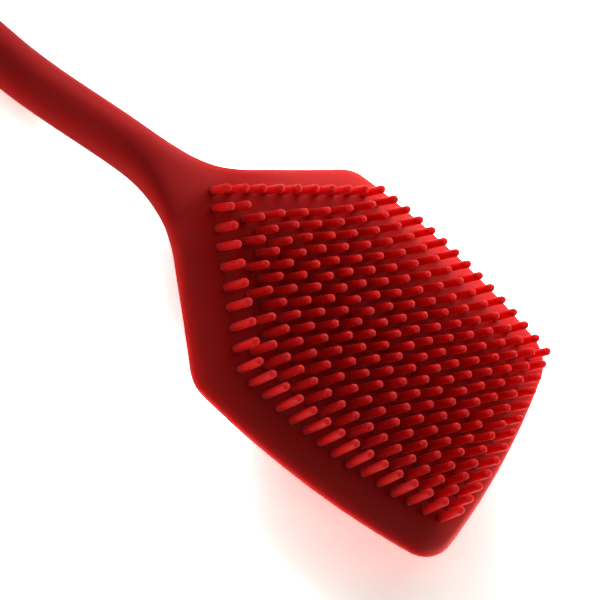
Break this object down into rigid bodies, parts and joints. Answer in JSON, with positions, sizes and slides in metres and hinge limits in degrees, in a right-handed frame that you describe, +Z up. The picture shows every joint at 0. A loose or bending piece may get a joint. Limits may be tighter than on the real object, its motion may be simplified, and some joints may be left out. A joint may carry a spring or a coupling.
{
  "type": "double-sided silicone brush",
  "caption": "Flat spade-shaped silicone brush head with bristles on both faces, on a long round handle that ends in a pad with a hanging hole.",
  "frame": {"origin": "on the surface that the brush rests on, under the middle of its length and width", "axes": "+X along the brush from the handle to the head's front edge, +Z up out of the pictured face, +Y to the left of +X"},
  "size_m": [0.3, 0.0828, 0.0294],
  "materials": {
    "nylon_core": "glass-filled nylon, dark grey, fine matt",
    "silicone": "matt red silicone rubber, slightly translucent at thin edges",
    "silicone_bristles": "matt red silicone rubber, round bristles with rounded tips"
  },
  "bodies": {
    "root": {"core": "nylon_core", "silicone_skin": "silicone", "front_bristles": "silicone_bristles", "rear_bristles": "silicone_bristles"}
  },
  "joints": []
}
